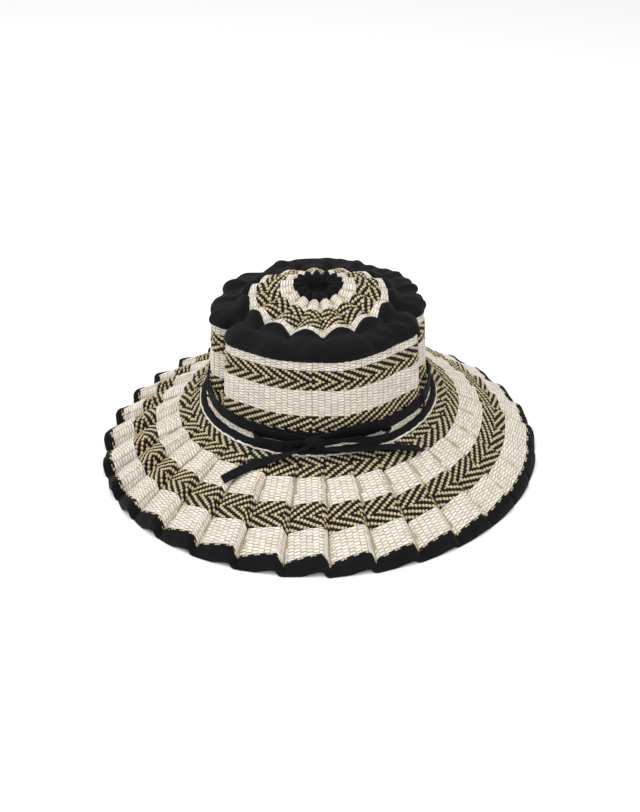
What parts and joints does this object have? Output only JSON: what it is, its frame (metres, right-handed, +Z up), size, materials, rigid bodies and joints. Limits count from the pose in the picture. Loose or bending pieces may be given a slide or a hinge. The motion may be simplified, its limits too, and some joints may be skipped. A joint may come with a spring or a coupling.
{
  "type": "hat",
  "caption": "Woven straw sun hat with a knife-pleated sloping brim bound in black cotton, a gathered cotton crown ring, herringbone bands and a black tape bow at the front",
  "frame": {"origin": "on the ground plane that the rim rests on, under the middle of the crown", "axes": "+Z up through the crown, -Y to the front where the bow is, +X to the right of someone who looks at the bow"},
  "size_m": [0.3801, 0.3823, 0.1589],
  "materials": {
    "woven_straw": "matte woven palm straw, cream with black herringbone bands",
    "black_cotton": "matte plain-woven black cotton"
  },
  "bodies": {
    "root": {"brim": "woven_straw", "brim_binding": "black_cotton", "crown_side": "woven_straw", "crown_ring": "black_cotton", "crown_tip": "woven_straw", "tip_gather": "black_cotton", "base_band": "black_cotton", "tie_band": "black_cotton", "tie_knot": "black_cotton", "tie_loop_left": "black_cotton", "tie_loop_right": "black_cotton", "tie_tail_left": "black_cotton", "tie_tail_right": "black_cotton", "tie_keeper_left": "black_cotton", "tie_keeper_right": "black_cotton"}
  },
  "joints": []
}
